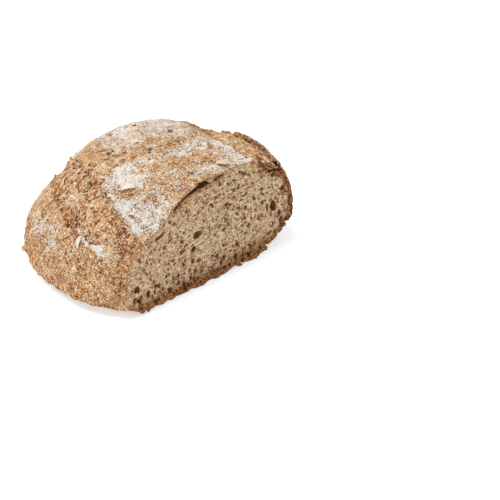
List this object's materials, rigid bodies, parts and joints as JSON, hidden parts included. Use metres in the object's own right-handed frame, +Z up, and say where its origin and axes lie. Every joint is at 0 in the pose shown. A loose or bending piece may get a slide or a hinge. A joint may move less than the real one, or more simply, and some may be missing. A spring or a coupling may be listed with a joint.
{
  "type": "oat sourdough bread",
  "caption": "Low round oat sourdough loaf with a floured, scored crust, one end cut off square so that the open speckled crumb shows.",
  "frame": {"origin": "middle of the loaf's bounding box, on the floor it rests on", "axes": "+X along the cut face's width, -Y out of the cut face, +Z up"},
  "size_m": [0.1622, 0.1328, 0.0737],
  "materials": {
    "bread": "baked bread: rough matt crust, golden brown with white flour, and an open matt beige-grey crumb on the cut face"
  },
  "bodies": {
    "root": {"loaf": "bread"}
  },
  "joints": []
}
